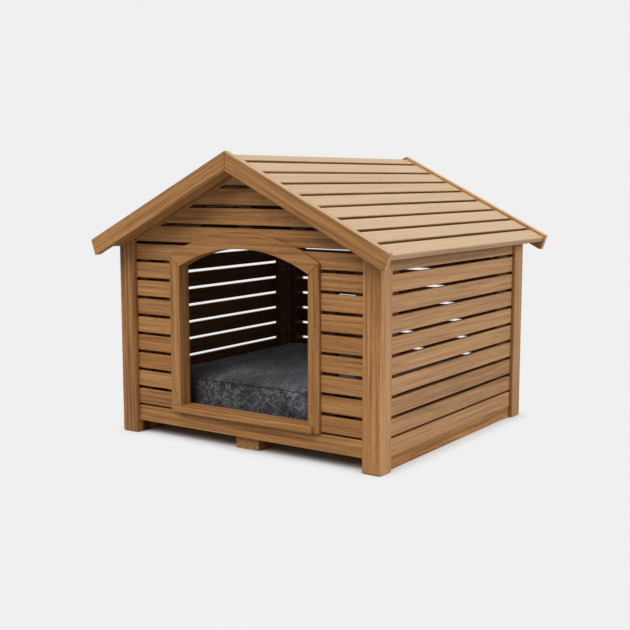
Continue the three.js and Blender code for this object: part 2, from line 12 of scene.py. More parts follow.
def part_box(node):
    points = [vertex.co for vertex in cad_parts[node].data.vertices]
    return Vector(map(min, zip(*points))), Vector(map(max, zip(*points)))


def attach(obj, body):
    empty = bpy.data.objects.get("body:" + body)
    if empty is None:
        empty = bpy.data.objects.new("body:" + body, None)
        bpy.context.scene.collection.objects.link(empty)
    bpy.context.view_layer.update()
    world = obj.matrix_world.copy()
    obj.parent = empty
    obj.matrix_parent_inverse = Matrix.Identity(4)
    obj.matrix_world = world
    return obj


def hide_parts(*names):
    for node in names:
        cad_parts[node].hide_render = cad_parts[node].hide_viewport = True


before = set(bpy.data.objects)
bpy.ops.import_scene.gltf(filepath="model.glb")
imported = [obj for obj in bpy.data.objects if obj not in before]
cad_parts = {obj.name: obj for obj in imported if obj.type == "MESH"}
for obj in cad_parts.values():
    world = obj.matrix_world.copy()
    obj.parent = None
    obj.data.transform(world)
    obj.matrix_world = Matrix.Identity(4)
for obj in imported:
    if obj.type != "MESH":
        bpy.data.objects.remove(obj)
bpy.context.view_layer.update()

scene = bpy.context.scene
scene.view_settings.view_transform = "Standard"

# ---- camera ------------------------------------------------------------------------------
# A long lens a little above the eaves, in front of the house and off to its right, so that the
# front and the right wall both show.

camera_place = (1.48511, -2.23030, 0.62895)
camera_tilt = 7.4108  # degrees below the horizon
camera_turn = 34.3669  # degrees to the left of straight along +Y
camera_lens = 60.05  # millimetres, on a sensor 36 mm wide

camera_data = bpy.data.cameras.new("photo_view")
camera_data.sensor_width = 36
camera_data.lens = camera_lens
camera_data.clip_end = 200
camera = bpy.data.objects.new("photo_view", camera_data)
camera.location = camera_place
camera.rotation_euler = (math.radians(90 - camera_tilt), 0, math.radians(camera_turn))
scene.collection.objects.link(camera)
scene.camera = camera

# ---- base: bottom rails, bearers and deck --------------------------------------------------
# Two rails between the feet of the posts, three bearers from front to rear on the ground, and
# seven boards across them. Planed and oiled teak, screwed together from above.


class Wire:
    """An output in a finish's node tree. Arithmetic on it adds Math nodes."""

    def __init__(self, finish, socket):
        self.finish = finish
        self.socket = socket

    def maths(self, operation, *values):
        sockets = dict(enumerate(values))
        return self.finish.node("ShaderNodeMath", {"operation": operation}, sockets)

    def __add__(self, other):
        return self.maths("ADD", self, other)

    def __radd__(self, other):
        return self.maths("ADD", other, self)

    def __sub__(self, other):
        return self.maths("SUBTRACT", self, other)

    def __rsub__(self, other):
        return self.maths("SUBTRACT", other, self)

    def __mul__(self, other):
        return self.maths("MULTIPLY", self, other)

    def __rmul__(self, other):
        return self.maths("MULTIPLY", other, self)

    def __truediv__(self, other):
        return self.maths("DIVIDE", self, other)

    def __pow__(self, other):
        return self.maths("POWER", self, other)

    def __abs__(self):
        return self.maths("ABSOLUTE", self)

    def floor(self):
        return self.maths("FLOOR", self)

    def fraction(self):
        return self.maths("FRACT", self)

    def above(self, limit):
        """1 where the value is over a limit, otherwise 0."""
        return self.maths("GREATER_THAN", self, limit)

    def at_least(self, other):
        """The greater of two values."""
        return self.maths("MAXIMUM", self, other)


class Finish:
    """A material, or a world, and the nodes that its pattern is made of."""

    def __init__(self, name, family="materials"):
        self.owner = getattr(bpy.data, family).new(name)
        self.owner.use_nodes = True
        self.tree = self.owner.node_tree
        self.tree.nodes.clear()

    def node(self, kind, settings=None, sockets=None, output=0):
        """A node of one kind: its settings first, then the values or links of its sockets."""
        made = self.tree.nodes.new(kind)
        for name, value in (settings or {}).items():
            if name == "stops":
                ramp = made.color_ramp.elements
                while len(ramp) < len(value):
                    ramp.new(0.5)
                for stop, (place, colour) in zip(ramp, value):
                    stop.position = place
                    stop.color = (*colour, 1)
            else:
                setattr(made, name, value)
        for key, value in (sockets or {}).items():
            if isinstance(key, int):
                socket = made.inputs[key]
            else:
                socket = next(s for s in made.inputs if key in (s.identifier, s.name))
            if isinstance(value, Wire):
                self.tree.links.new(value.socket, socket)
            else:
                socket.default_value = value
        return Wire(self, made.outputs[output]) if made.outputs else None

    def parts(self, vector):
        """The three components of a vector or a colour."""
        first = self.node("ShaderNodeSeparateXYZ", sockets={0: vector})
        outputs = first.socket.node.outputs
        return [Wire(self, outputs[index]) for index in range(3)]

    def place(self):
        """x, y and z of the point, in the object's own coordinates."""
        return self.parts(self.node("ShaderNodeTexCoord", output="Object"))

    def facing(self):
        """x, y and z of the flat normal."""
        return self.parts(self.node("ShaderNodeNewGeometry", output="True Normal"))

    def noise(self, x, y, z, detail=2.0, roughness=0.5, distortion=0.0):
        """Noise from 0 to 1 at a point that is already scaled."""
        vector = self.node("ShaderNodeCombineXYZ", sockets={0: x, 1: y, 2: z})
        values = {"Vector": vector, "Scale": 1.0, "Detail": detail, "Roughness": roughness}
        return self.node("ShaderNodeTexNoise", None, {**values, "Distortion": distortion})

    def ramp(self, stops, value):
        """The colour at a value from 0 to 1, between stops of a place and a colour each."""
        return self.node("ShaderNodeValToRGB", {"stops": stops}, {0: value})

    def ease(self, value, low, high, start=0.0, end=1.0):
        """start where the value is under low, end where it is over high, smooth between."""
        settings = {"interpolation_type": "SMOOTHSTEP"}
        sockets = {"Value": value, "From Min": low, "From Max": high}
        sockets |= {"To Min": start, "To Max": end}
        return self.node("ShaderNodeMapRange", settings, sockets)

    def blend(self, share, first, second, how="MIX"):
        """Two colours mixed."""
        settings = {"data_type": "RGBA", "blend_type": how}
        colours = {"A_Color": first, "B_Color": second}
        colours = {k: v if isinstance(v, Wire) else (*v, 1) for k, v in colours.items()}
        sockets = {"Factor_Float": share, **colours}
        return self.node("ShaderNodeMix", settings, sockets, output=2)

    def between(self, share, first, second):
        """Two numbers mixed."""
        return first + (second - first) * share

    def openness(self, reach):
        """1 where nothing stands over the surface within a reach, down to 0 in a corner."""
        kind = "ShaderNodeAmbientOcclusion"
        return self.node(kind, {"samples": 12}, {"Distance": reach}, output="AO")

    def bump(self, height, strength, distance, **sockets):
        """A normal from a height from about 0 to 1, distance high in metres."""
        values = {"Strength": strength, "Distance": distance, "Height": height}
        return self.node("ShaderNodeBump", None, {**values, **sockets})

    def surface(self, **values):
        """The shader, from its sockets' names with underscores for spaces."""
        sockets = {name.replace("_", " "): value for name, value in values.items()}
        shader = self.node("ShaderNodeBsdfPrincipled", None, sockets)
        self.node("ShaderNodeOutputMaterial", None, {"Surface": shader})


# oiled teak, from its darkest lines to its palest fibres
teak_stops = [
    (0.0, (0.158, 0.058, 0.018)),
    (0.35, (0.347, 0.154, 0.047)),
    (0.6, (0.478, 0.228, 0.076)),
    (1.0, (0.630, 0.338, 0.136)),
]
# the same wood where sun has faded it, also the paler colour of painted highlights on lit faces
faded_and_highlit_stops = [
    (0.0, (0.360, 0.215, 0.110)),
    (0.35, (0.560, 0.375, 0.215)),
    (0.6, (0.650, 0.460, 0.285)),
    (1.0, (0.740, 0.560, 0.375)),
]
pore_colour = (0.100, 0.036, 0.012)
rubbed_colour = (0.66, 0.42, 0.22)
ruddy_tint = (1.0, 0.90, 0.84)  # of the redder boards
painted_highlight_share = 0.24  # share of the paler colour as a painted highlight on lit upright faces
# painted shade: a dark tint laid on faces inside the house, in the gaps and under the roof, as if
# no light reached them
painted_shade_tint = (0.17, 0.14, 0.11)
painted_shade_share = 0.90  # share of that tint where the painted shade is deepest
ring_width = 0.0042
ring_unevenness = 0.006
ring_wander = 0.020  # along the board
ring_ripple = 0.0030
pith_offset = (0.17, -0.26)
board_shift = (7.0, 0.5, 0.5)  # how far apart boards are cut from the same pattern
arris_reach = 0.0016  # from an edge, rubbed by handling
grain_relief = 0.0006


def timber(finish, grain, board, end_face, faded=0.0, painted_highlight=0.0, painted_shade=0.0):
    """Teak on a finish. grain is the point along, across and into the board, board a number that
    differs from one board to the next, and end_face is 1 on faces that cut across the grain.
    faded bleaches upper faces, painted_highlight is 1 where a painted highlight pales a lit
    upright face, and painted_shade is 1 where painted shade darkens faces inside, under or
    between parts."""
    one_number = {"noise_dimensions": "1D"}
    dice = finish.node("ShaderNodeTexWhiteNoise", one_number, {"W": board}, output="Color")
    draws = finish.parts(dice)
    along, across, deep = (g + d * shift for g, d, shift in zip(grain, draws, board_shift))

    def figure(lengthwise, crosswise, **looks):
        """Noise with so many cells in a metre along the board, and in one across it."""
        return finish.noise(along * lengthwise, across * crosswise, deep * crosswise, **looks)

    # growth rings about a pith off to one side, which wander along the board
    wander = figure(1.7, 11) - 0.5
    ripple = figure(8, 55) - 0.5
    off_across = across - pith_offset[0]
    off_deep = deep - pith_offset[1]
    radius = (off_across * off_across + off_deep * off_deep) ** 0.5
    radius = radius + wander * ring_wander + ripple * ring_ripple
    uneven = finish.noise(radius * 60, 0.0, 0.0, detail=1.0) - 0.5
    ring = ((radius + uneven * ring_unevenness) / ring_width).fraction()
    late = finish.ease(ring, 0.35, 0.86) * finish.ease(ring, 0.90, 1.0, 1.0, 0.0)

    # fibres in fine and broad streaks, pores as short dark dashes, and slow changes of tone
    fine = figure(11, 380, detail=3.0, roughness=0.6)
    broad = figure(3.2, 130)
    dark_lines = finish.ease(figure(1.6, 210, detail=1.0), 0.56, 0.70)
    cloud = figure(1.3, 6)
    dashes = figure(42, 1150, detail=1.0)
    pores = finish.ease(dashes, 0.60, 0.72) * (1 - late * 0.6)

    tone = 0.61 + (fine - 0.5) * 0.85 + (broad - 0.5) * 1.10 + (cloud - 0.5) * 0.45
    tone = tone - late * 0.16 - dark_lines * 0.22 + (draws[0] - 0.5) * 0.20
    tone = tone - end_face * 0.04
    teak = finish.ramp(teak_stops, tone)
    ruddy = finish.ease(draws[1], 0.55, 1.0, 0.0, 0.45)
    teak = finish.blend(ruddy, teak, ruddy_tint, how="MULTIPLY")
    colour = finish.blend(pores * 0.55, teak, pore_colour)
    if faded or painted_highlight:
        calmed = 0.60 + (tone - 0.55) * 0.5
        pale = finish.ramp(faded_and_highlit_stops, calmed)
        pale = finish.blend(pores * 0.22, pale, pore_colour)
        upward = finish.ease(finish.facing()[2], 0.25, 0.75, 0.0, faded)
        # paler on faded upper faces, and a painted highlight on upright faces that the lamps
        # light
        colour = finish.blend(upward + painted_highlight * painted_highlight_share, colour, pale)
    # painted shade: faces inside, under or between parts darkened towards that tint
    if painted_shade:
        colour = finish.blend(painted_shade * painted_shade_share, colour, painted_shade_tint, how="MULTIPLY")

    # arrises rubbed a little paler and smoother by handling
    rounded = finish.node("ShaderNodeBevel", {"samples": 4}, {"Radius": arris_reach})
    flat = finish.node("ShaderNodeNewGeometry", output="Normal")
    settings = {"operation": "DOT_PRODUCT"}
    agree = finish.node("ShaderNodeVectorMath", settings, {0: rounded, 1: flat}, "Value")
    rub = finish.ease(agree, 0.72, 0.995, 1.0, 0.0) * finish.ease(fine, 0.35, 0.6)
    colour = finish.blend(rub * 0.22, colour, rubbed_colour)

    height = fine * 0.35 + broad * 0.25 - pores * 0.75 - late * 0.25
    finish.surface(
        Base_Color=colour,
        Roughness=0.56 + (fine - 0.5) * 0.25 + pores * 0.15 - rub * 0.08,
        Specular_IOR_Level=0.28,
        Normal=finish.bump(height, 0.45, grain_relief, Normal=rounded),
    )
    return finish.owner


def straight_timber(name, axis, board, painted_highlight=None, painted_shade=None):
    """Teak whose grain runs along one axis. board, painted_highlight and painted_shade are worked
    out from the point's x, y and z; the last two place a painted highlight and painted shade."""
    finish = Finish(name)
    x, y, z = finish.place()
    orders = {"x": (x, z, y), "y": (y, z, x), "z": (z, x, y)}
    cut_across = abs(finish.facing()["xyz".index(axis)]).above(0.8)
    looks = {
        "painted_highlight": painted_highlight(x, y, z) if painted_highlight else 0.0,
        "painted_shade": painted_shade(x, y, z) if painted_shade else 0.0,
    }
    return timber(finish, orders[axis], board(x, y, z), cut_across, **looks)


def dress(material, *nodes):
    """Gives solids of the frame a finish."""
    for name in nodes:
        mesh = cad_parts[name].data
        mesh.materials.clear()
        mesh.materials.append(material)


def left_middle_right(x):
    """A different even number for each of three pieces, on the left, in the middle and on the
    right of the house."""
    return (x * 5 + 0.5).floor()


deck_boards = 7
deck_low, deck_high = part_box("floor_board_1")
deck_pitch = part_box("floor_board_2")[0].y - deck_low.y

# each kind of piece counts its boards from a number of its own, so that no two share a figure
rail_timber = straight_timber("rail_timber", "x", lambda x, y, z: y.above(0) + 11)
dress(rail_timber, "front_bottom_rail", "rear_bottom_rail")
bearer_timber = straight_timber("bearer_timber", "y", lambda x, y, z: left_middle_right(x) + 21)
dress(bearer_timber, "floor_bearer_left", "floor_bearer_centre", "floor_bearer_right")
deck_timber = straight_timber(
    "deck_timber", "x", lambda x, y, z: ((y - deck_low.y) / deck_pitch).floor() + 31
)
dress(deck_timber, *[f"floor_board_{index + 1}" for index in range(deck_boards)])

# ---- posts -------------------------------------------------------------------------------
# Four square posts with eased edges, grooved for the slats, each from one length of teak.

skin = 0.0015  # how near its face a point still counts as on it
slat_thickness = 0.012
post_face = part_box("post_front_right")[1].x
cabin_end = -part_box("front_wall_left")[0].y - slat_thickness
cabin_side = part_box("side_wall_right")[1].x - slat_thickness


def four(kind):
    """The names of a kind of piece that is in all four corners of the house."""
    return [f"{kind}_{end}_{side}" for end in ("front", "rear") for side in ("left", "right")]


post_timber = straight_timber(
    "post_timber",
    "z",
    lambda x, y, z: x.above(0) + y.above(0) * 2 + 41,
    # painted highlight on the right posts' right faces, which face the key lamp; painted shade on
    # faces inside the cabin
    painted_highlight=lambda x, y, z: x.above(post_face - skin),
    painted_shade=lambda x, y, z: (1 - abs(x).above(cabin_side)) * (1 - abs(y).above(cabin_end)),
)
dress(post_timber, *four("post"))

# ---- doorway -----------------------------------------------------------------------------
# Two upright jambs, a head sawn to an arch from one wide board and mitred to them, and a sill
# that laps their feet. Glued and dowelled, so no fixing shows.

jamb_timber = straight_timber("jamb_timber", "z", lambda x, y, z: x.above(0) * 2 + 51)
dress(jamb_timber, "door_jamb_left", "door_jamb_right")
head_timber = straight_timber("head_timber", "x", lambda x, y, z: 55)
dress(head_timber, "door_arch_head")
sill_timber = straight_timber("sill_timber", "x", lambda x, y, z: 57)
dress(sill_timber, "door_sill")

# ---- walls -------------------------------------------------------------------------------
# Level slats with open gaps, screwed from inside to upright battens. Each slat is a board of
# its own, so its tone and figure differ from those above and below it.

rows_below_gable = 9
rail_to_slat = 0.005
row_gap = 0.0075
batten_start = 0.0125  # where the battens take over behind the face of a wall
batten_cells = 12  # in a metre, narrow enough that two battens never share one
rail_top = {end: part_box(f"{end}_bottom_rail")[1].z for end in ("front", "rear")}
row_foot = {end: top + rail_to_slat for end, top in rail_top.items()}
gable_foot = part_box("front_gable")[0].z
row_pitch = (gable_foot - row_foot["front"]) / rows_below_gable
front_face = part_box("front_wall_left")[0].y
rear_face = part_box("rear_wall")[1].y
side_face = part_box("side_wall_right")[1].x


def wall_timber(name, lengthwise, foot, depth, board, batten, painted_highlight=None):
    """Slats with their grain along x or y, on battens with theirs along z. foot is the lower
    edge of row 0, and depth is how far the point lies behind the face of the wall. board and
    batten number the slats and the battens."""
    finish = Finish(name)
    x, y, z = finish.place()
    facing = finish.facing()
    behind = depth(x, y)
    inside = behind.above(batten_start)
    row = ((z - foot + row_gap / 2) / row_pitch).floor()
    slat = {"x": (x, z, y), "y": (y, z, x)}[lengthwise]
    upright = (z, x, y)
    grain = [finish.between(inside, a, b) for a, b in zip(slat, upright)]
    number = finish.between(inside, board(x, y, row) + row, batten(x, y) + 201)
    slat_end = abs(facing["xyz".index(lengthwise)]).above(0.8)
    batten_end = abs(facing[2]).above(0.8)
    cut_across = finish.between(inside, slat_end, batten_end)
    # painted shade, darker the further a face lies behind the face of the wall: in the gaps, on
    # the slats' inner faces and on the battens
    painted_shade = finish.ease(behind, 0.001, batten_start * 0.8)
    # painted highlight on the faces that the caller marks as lit
    highlighted = painted_highlight(x, y) if painted_highlight else 0.0
    return timber(finish, grain, number, cut_across, painted_highlight=highlighted, painted_shade=painted_shade)


front_timber = wall_timber(
    "front_wall_timber",
    "x",
    row_foot["front"],
    lambda x, y: y - front_face,
    lambda x, y, row: x.above(0) * 20 * (1 - row.above(rows_below_gable - 0.5)) + 101,
    lambda x, y: (x * batten_cells + 0.5).floor(),
)
dress(front_timber, "front_wall_left", "front_wall_right", "front_gable")
rear_timber = wall_timber(
    "rear_wall_timber",
    "x",
    row_foot["rear"],
    lambda x, y: rear_face - y,
    lambda x, y, row: 141,
    lambda x, y: (x * batten_cells + 0.5).floor() + 20,
)
dress(rear_timber, "rear_wall")
side_timber = wall_timber(
    "side_wall_timber",
    "y",
    row_foot["front"],
    lambda x, y: side_face - abs(x),
    lambda x, y, row: x.above(0) * 20 + 161,
    lambda x, y: x.above(0) * 2 + y.above(0) + 40,
    # painted highlight on the right wall's outer face, which faces the key lamp
    painted_highlight=lambda x, y: x.above(side_face - skin),
)
dress(side_timber, "side_wall_left", "side_wall_right")

# ---- roof frame --------------------------------------------------------------------------
# A ridge beam, a plate along each side wall and a pair of rafters at each gable, halved and
# screwed from inside.

roof_pitch = math.radians(26.4)
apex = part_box("barge_board_front_right")[1].z

beam_timber = straight_timber(
    "beam_timber",
    "y",
    lambda x, y, z: left_middle_right(x) + 61,
    # painted shade over the whole ridge beam and both wall plates
    painted_shade=lambda x, y, z: 1,
)
dress(beam_timber, "ridge_beam", "wall_plate_left", "wall_plate_right")

end_highlight = 2.2  # painted highlight on the end faces, times that on other lit upright faces


def sloping_timber(name, number, **looks):
    """Teak whose grain runs down the slope of the roof, on both sides of the ridge."""
    finish = Finish(name)
    x, y, z = finish.place()
    run = abs(x)
    drop = apex - z
    down = run * math.cos(roof_pitch) + drop * math.sin(roof_pitch)
    under = drop * math.cos(roof_pitch) - run * math.sin(roof_pitch)
    normal = finish.facing()
    side = x.above(0) * 2 - 1
    along_normal = normal[0] * side * math.cos(roof_pitch) - normal[2] * math.sin(roof_pitch)
    board = x.above(0) + y.above(0) * 2 + number
    cut_across = abs(along_normal).above(0.8)
    # end faces of barge boards and rafters paler: a painted highlight
    looks["painted_highlight"] = cut_across * end_highlight
    return timber(finish, (down, under, y), board, cut_across, **looks)


rafter_timber = sloping_timber("rafter_timber", 71)
dress(rafter_timber, *four("rafter"))

# ---- roof slopes -------------------------------------------------------------------------
# Nine slats down each slope, a barge board over their ends at each gable and a rebated rafter
# behind the front ones. Their upper faces are faded by the sun.

barge_timber = sloping_timber("barge_timber", 81, faded=0.9)
dress(barge_timber, *four("barge_board"))
verge_timber = sloping_timber("verge_timber", 91, faded=1.0)
dress(verge_timber, "verge_rafter_left", "verge_rafter_right")

full_slats = 8  # on each slope, below the narrow one at the ridge
slat_sink = 0.0072  # top of the slats below the top of the barge boards
roof_slat_thickness = 0.0135
slat_bottom = slat_sink + roof_slat_thickness
eave_strip = 0.004  # width of the lowest slat's edge
eave_highlight = 2.0  # painted highlight on the eave edges, times that on other lit upright faces


def down_slope(x, sunk):
    """How far down the slope a point lies, from its x and its depth square to the roof."""
    return (x + sunk * math.sin(roof_pitch)) / math.cos(roof_pitch)


first_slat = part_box("roof_slat_right_1")
first_slat_end = down_slope(first_slat[1].x, slat_sink)
second_slat_end = down_slope(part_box("roof_slat_right_2")[1].x, slat_sink)
roof_slat_pitch = second_slat_end - first_slat_end
ridge_slat_end = down_slope(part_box("ridge_slat_right")[1].x, slat_sink)
first_slat_start = down_slope(first_slat[0].x, slat_bottom)
roof_slat_start = (ridge_slat_end + first_slat_start) / 2  # middle of the gap between them
eave_edge = down_slope(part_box(f"roof_slat_right_{full_slats}")[1].x, slat_sink)


def roof_timber(name):
    """Roof slats: grain along the ridge, and a board for each step down the slope."""
    finish = Finish(name)
    x, y, z = finish.place()
    down = abs(x) * math.cos(roof_pitch) + (apex - z) * math.sin(roof_pitch)
    under = (apex - z) * math.cos(roof_pitch) - abs(x) * math.sin(roof_pitch)
    step = ((down - roof_slat_start) / roof_slat_pitch).floor()
    board = step + x.above(0) * 15 + 301
    cut_across = abs(finish.facing()[1]).above(0.8)
    # painted shade on the slats' edges and undersides, below their top faces
    painted_shade = finish.ease(under, slat_sink + 0.001, slat_sink + 0.005)
    at_eave = down.above(eave_edge - eave_strip)
    return timber(
        finish,
        (y, down, under),
        board,
        cut_across,
        faded=1.0,
        # painted highlight on the eave edges, and no painted shade there
        painted_highlight=at_eave * eave_highlight * (1 - finish.ease(finish.facing()[2], 0.25, 0.75)),
        painted_shade=painted_shade * (1 - at_eave),
    )


roof_slat_timber = roof_timber("roof_slat_timber")
for side in ("left", "right"):
    dress(roof_slat_timber, f"ridge_slat_{side}")
    dress(roof_slat_timber, *[f"roof_slat_{side}_{index + 1}" for index in range(full_slats)])

# ---- screws ------------------------------------------------------------------------------
# Raised stainless screws with a cross recess, driven from inside through the battens into the
# slats, and from above through the deck boards into the bearers.

screw_radius = 0.0034
screw_dome = 0.0009
screw_recess = 0.0007
recess_reach = 0.0019
recess_half = 0.00045
recess_taper = 0.8
head_segments = 16
# from its hidden rim up, in shares of the head's radius and of its dome
head_profile = ((1.0, -0.35), (1.0, 0.12), (0.86, 0.55), (0.68, 0.84))

head = bmesh.new()
rings = []
for radius, height in head_profile:
    ring = []
    for step in range(head_segments):
        angle = 2 * math.pi * (step + 0.5) / head_segments
        spot = (screw_radius * radius * math.cos(angle), screw_radius * radius * math.sin(angle))
        ring.append(head.verts.new((*spot, screw_dome * height)))
    rings.append(ring)
for lower, upper in zip(rings, rings[1:]):
    for step in range(head_segments):
        following = (step + 1) % head_segments
        head.faces.new((lower[step], lower[following], upper[following], upper[step]))
head.faces.new(list(reversed(rings[0])))
# the cross: four arms, each with two outer corners and an inner corner between arms
cross = []
for arm in range(4):
    turn = math.pi / 2 * arm
    for reach, offset in (
        (recess_reach, -recess_half),
        (recess_reach, recess_half),
        (recess_half, recess_half),
    ):
        across = reach * math.cos(turn) - offset * math.sin(turn)
        cross.append((across, reach * math.sin(turn) + offset * math.cos(turn)))
rim = [head.verts.new((x, y, screw_dome)) for x, y in cross]
sunk = screw_dome - screw_recess
cross_floor = [head.verts.new((x * recess_taper, y * recess_taper, sunk)) for x, y in cross]
for step in range(len(cross)):
    following = (step + 1) % len(cross)
    head.faces.new((rim[following], rim[step], cross_floor[step], cross_floor[following]))
head.faces.new(cross_floor)
edges = []
for ring in (rings[-1], rim):
    edges += [head.edges.get((ring[step - 1], ring[step])) for step in range(1, len(ring))]
    edges.append(head.edges.get((ring[-1], ring[0])))
bmesh.ops.triangle_fill(head, use_beauty=True, use_dissolve=False, edges=edges)
bmesh.ops.recalc_face_normals(head, faces=head.faces)
head_mesh = bpy.data.meshes.new("screw_head")
head.to_mesh(head_mesh)
head.free()
head_object = bpy.data.objects.new("screw_head", head_mesh)

bare_steel = (0.34, 0.32, 0.30)
dull_steel = (0.16, 0.13, 0.11)
steel = Finish("screw_steel")
x, y, z = steel.place()
brushed = steel.noise(x * 900, y * 900, z * 900)
grime = steel.noise(x * 240, y * 240, z * 240)
steel.surface(
    Base_Color=steel.blend(steel.ease(grime, 0.45, 0.7), bare_steel, dull_steel),
    Metallic=1.0,
    Roughness=0.30 + brushed * 0.25,
    Normal=steel.bump(brushed, 0.2, 0.0001),
)

batten_face = {
    "side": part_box("side_wall_right")[0].x,
    "front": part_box("front_wall_right")[1].y,
    "rear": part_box("rear_wall")[0].y,
}
front_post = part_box("post_front_right")
rear_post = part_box("post_rear_right")
side_batten_middle = 0.0303  # beside a post
front_batten_middle = 0.0153  # beside a post or a jamb
gable_batten_share = 5 / 11  # of the way from the middle to a post
gable_batten_middle = front_post[0].x * gable_batten_share
bearer_middle = 0.342
deck_screw_offset = 0.024  # from the middle of a board
side_screw_offset = 0.014  # from the middle of a batten
side_rows = 8  # with screws, between the lowest slat and the wall plate
most_rows = 13  # up to the ridge
roof_distance = 0.064  # from the top of the roof down to the highest screw of a batten
batten_half = 0.02  # and some room
screws = []  # place and facing of each
deck_top = deck_high.z
for index in range(deck_boards):
    low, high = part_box(f"floor_board_{index + 1}")
    for offset in (-deck_screw_offset, deck_screw_offset):
        for across in (-bearer_middle, 0.0, bearer_middle):
            screws.append(((across, (low.y + high.y) / 2 + offset, deck_top), (0, 0, 1)))
slat_middle = (row_pitch - row_gap) / 2
row_middle = {}
for end, foot in row_foot.items():
    row_middle[end] = [foot + row_pitch * row + slat_middle for row in range(most_rows)]
for side in (-1, 1):
    for along in (front_post[1].y + side_batten_middle, rear_post[0].y - side_batten_middle):
        for height in row_middle["front"][:side_rows]:
            for offset in (-side_screw_offset, side_screw_offset):
                place = (side * batten_face["side"], along + offset, height)
                screws.append((place, (-side, 0, 0)))
    at_post = front_post[0].x - front_batten_middle
    at_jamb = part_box("door_jamb_right")[1].x + front_batten_middle
    for across in (at_post, at_jamb):
        for height in row_middle["front"][:rows_below_gable]:
            screws.append(((side * across, batten_face["front"], height), (0, 1, 0)))
for across in (-gable_batten_middle, 0.0, gable_batten_middle):
    highest = apex - roof_distance - (abs(across) + batten_half) * math.tan(roof_pitch)
    for row, (in_front, at_rear) in enumerate(zip(row_middle["front"], row_middle["rear"])):
        if at_rear < highest and (row >= rows_below_gable or not across):
            screws.append(((across, batten_face["rear"], at_rear), (0, -1, 0)))
        over_arch = row > rows_below_gable or (row == rows_below_gable and across)
        if in_front < highest and over_arch:
            screws.append(((across, batten_face["front"], in_front), (0, 1, 0)))


def tree_with(name, inputs):
    """A geometry tree with its geometry in and out, and named inputs after the first."""
    tree = bpy.data.node_groups.new(name, "GeometryNodeTree")
    tree.interface.new_socket("Geometry", in_out="INPUT", socket_type="NodeSocketGeometry")
    for label, kind in inputs:
        tree.interface.new_socket(label, in_out="INPUT", socket_type=kind)
    tree.interface.new_socket("Geometry", in_out="OUTPUT", socket_type="NodeSocketGeometry")
    return tree


def growth(tree, kind, sockets=None, **settings):
    """A node of a geometry tree, with its settings and the values or links of its sockets."""
    made = tree.nodes.new(kind)
    for name, value in settings.items():
        setattr(made, name, value)
    for key, value in (sockets or {}).items():
        if isinstance(value, bpy.types.NodeSocket):
            tree.links.new(value, made.inputs[key])
        else:
            made.inputs[key].default_value = value
    return made


def grown(obj, tree, values):
    """A plain mesh from an object and a geometry tree, whose inputs are set by identifier."""
    modifier = obj.modifiers.new("growth", "NODES")
    modifier.node_group = tree
    for item in tree.interface.items_tree:
        if item.in_out == "INPUT" and item.name in values:
            modifier[item.identifier] = values[item.name]
    scene.collection.objects.link(obj)
    bpy.context.view_layer.update()
    evaluated = obj.evaluated_get(bpy.context.evaluated_depsgraph_get())
    mesh = bpy.data.meshes.new_from_object(evaluated)
    obj.modifiers.remove(modifier)
    bpy.data.objects.remove(obj)
    return mesh


screw_tree = tree_with("screws_on_points", [
    ("Head", "NodeSocketObject"),
    ("Size", "NodeSocketFloat"),
    ("Steel", "NodeSocketMaterial"),
])
entry = growth(screw_tree, "NodeGroupInput").outputs
facing = growth(
    screw_tree,
    "GeometryNodeInputNamedAttribute",
    {"Name": "facing"},
    data_type="FLOAT_VECTOR",
)
aligned = growth(
    screw_tree,
    "FunctionNodeAlignRotationToVector",
    {"Vector": facing.outputs[0]},
    axis="Z",
)
spin = growth(
    screw_tree,
    "FunctionNodeRandomValue",
    {"Min": 0.0, "Max": math.pi, "Seed": 5},
    data_type="FLOAT",
)
spin_angle = next(s for s in spin.outputs if s.enabled and s.type == "VALUE")
screwed_home = growth(
    screw_tree,
    "FunctionNodeAxisAngleToRotation",
    {"Axis": (0, 0, 1), "Angle": spin_angle},
)
turned = growth(
    screw_tree,
    "FunctionNodeRotateRotation",
    {"Rotation": aligned.outputs[0], "Rotate By": screwed_home.outputs[0]},
    rotation_space="LOCAL",
)
head_info = growth(screw_tree, "GeometryNodeObjectInfo", {"Object": entry["Head"]})
placed = growth(screw_tree, "GeometryNodeInstanceOnPoints", {
    "Points": entry["Geometry"],
    "Instance": head_info.outputs["Geometry"],
    "Rotation": turned.outputs[0],
    "Scale": entry["Size"],
})
realized = growth(screw_tree, "GeometryNodeRealizeInstances", {0: placed.outputs[0]})
coated = growth(screw_tree, "GeometryNodeSetMaterial", {
    "Geometry": realized.outputs[0],
    "Material": entry["Steel"],
})
growth(screw_tree, "NodeGroupOutput", {0: coated.outputs[0]})

points = bpy.data.meshes.new("screw_points")
points.from_pydata([place for place, _ in screws], [], [])
attribute = points.attributes.new("facing", "FLOAT_VECTOR", "POINT")
for index, (_, direction) in enumerate(screws):
    attribute.data[index].vector = direction
screw_mesh = grown(
    bpy.data.objects.new("screw_points", points),
    screw_tree,
    {"Head": head_object, "Size": 1.0, "Steel": steel.owner},
)
screw_set = bpy.data.objects.new("screws", screw_mesh)
scene.collection.objects.link(screw_set)
bpy.data.objects.remove(head_object)
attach(screw_set, "house")

# ---- cushion -----------------------------------------------------------------------------
# A boxed foam cushion in short grey plush: a top and a bottom panel and a band between them,
# with a thin welt in both seams. It lies loose on the deck and fills the floor between battens.

